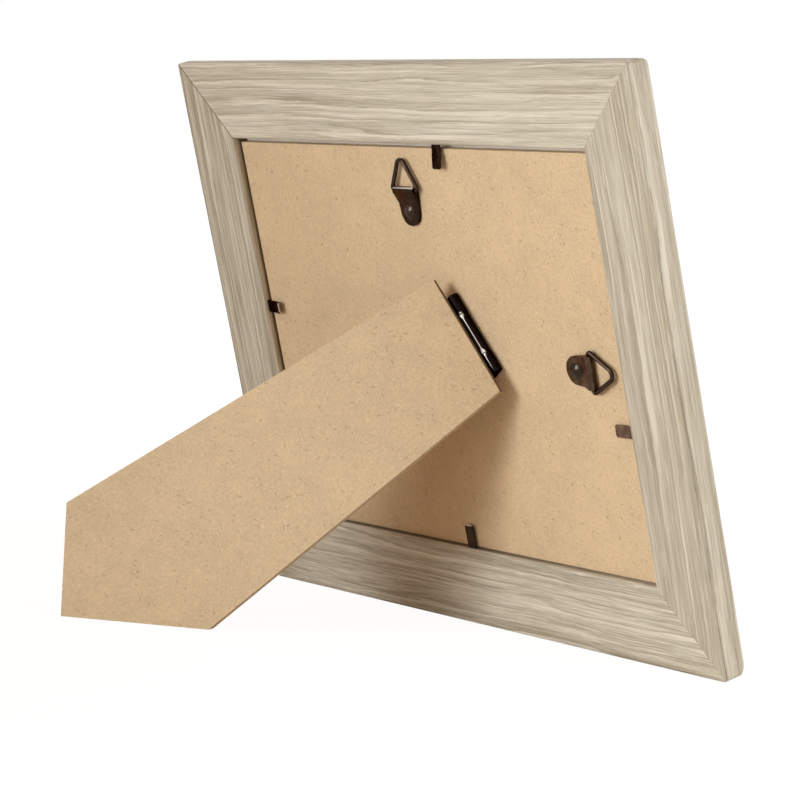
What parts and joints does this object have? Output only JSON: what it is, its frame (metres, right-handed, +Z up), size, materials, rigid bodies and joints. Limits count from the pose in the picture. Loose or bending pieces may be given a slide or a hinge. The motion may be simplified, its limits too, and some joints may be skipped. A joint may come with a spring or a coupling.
{
  "type": "easel back photo frame",
  "caption": "Landscape tabletop photo frame seen from its easel back: mitred wood-grain moulding, fibreboard back with bend tabs, triangular hanging rings and a tapered hinged leg.",
  "frame": {"origin": "on the table, below the middle of the whole object's box", "axes": "+Z up, -Y the way the picture faces, +Y back towards the leg's foot, +X to the left seen from behind"},
  "size_m": [0.2318, 0.117, 0.1775],
  "materials": {
    "moulding_wrap": "satin printed pale oak grain, running along each rail",
    "fibreboard": "raw fibreboard, matt, finely flecked",
    "bronze_metal": "satin dark bronze steel",
    "hinge_metal": "glossy near-black steel",
    "glass": "clear",
    "paper": "blank paper, matt"
  },
  "bodies": {
    "frame": {"backboard": "fibreboard", "glass": "glass", "hanger_rivet_side": "bronze_metal", "hanger_rivet_top": "bronze_metal", "hanger_strap_side": "bronze_metal", "hanger_strap_top": "bronze_metal", "hinge_leaf_board": "hinge_metal", "hinge_pin": "hinge_metal", "photo_insert": "paper", "rail_bottom": "moulding_wrap", "rail_left": "moulding_wrap", "rail_right": "moulding_wrap", "rail_top": "moulding_wrap", "tab_root_bottom": "bronze_metal", "tab_root_left": "bronze_metal", "tab_root_right": "bronze_metal", "tab_root_top": "bronze_metal"},
    "leg": {"easel_leg": "fibreboard", "hinge_leaf_leg": "hinge_metal"},
    "ring_top": {"hanger_ring_top": "bronze_metal"},
    "ring_side": {"hanger_ring_side": "bronze_metal"},
    "tab_top": {"bend_tab_top": "bronze_metal"},
    "tab_bottom": {"bend_tab_bottom": "bronze_metal"},
    "tab_left": {"bend_tab_left": "bronze_metal"},
    "tab_right": {"bend_tab_right": "bronze_metal"}
  },
  "joints": [
    {"name": "leg_hinge", "type": "hinge", "parent": "frame", "child": "leg", "pos_m": [-0.0229, -0.02604, 0.09469], "axis": [0.5821, 0.194, 0.7896], "range_deg": [-38.3, 0]},
    {"name": "ring_top_swing", "type": "hinge", "parent": "frame", "child": "ring_top", "pos_m": [0.0003, -0.01603, 0.13764], "axis": [-1, 0, 0], "range_deg": [-3.6, 130]},
    {"name": "ring_side_swing", "type": "hinge", "parent": "frame", "child": "ring_side", "pos_m": [-0.0756, -0.02848, 0.08695], "axis": [0, -0.2385, -0.9711], "range_deg": [-3.6, 130]},
    {"name": "tab_top_bend", "type": "hinge", "parent": "frame", "child": "tab_top", "pos_m": [-0.0191, -0.01295, 0.15176], "axis": [1, 0, 0], "range_deg": [-15, 75]},
    {"name": "tab_bottom_bend", "type": "hinge", "parent": "frame", "child": "tab_bottom", "pos_m": [-0.001, -0.04398, 0.02542], "axis": [-1, 0, 0], "range_deg": [-6, 84]},
    {"name": "tab_left_bend", "type": "hinge", "parent": "frame", "child": "tab_left", "pos_m": [0.09005, -0.02656, 0.09636], "axis": [0, -0.2385, -0.9711], "range_deg": [-14, 76]},
    {"name": "tab_right_bend", "type": "hinge", "parent": "frame", "child": "tab_right", "pos_m": [-0.09005, -0.03288, 0.07063], "axis": [0, 0.2385, 0.9711], "range_deg": [-8, 82]}
  ]
}
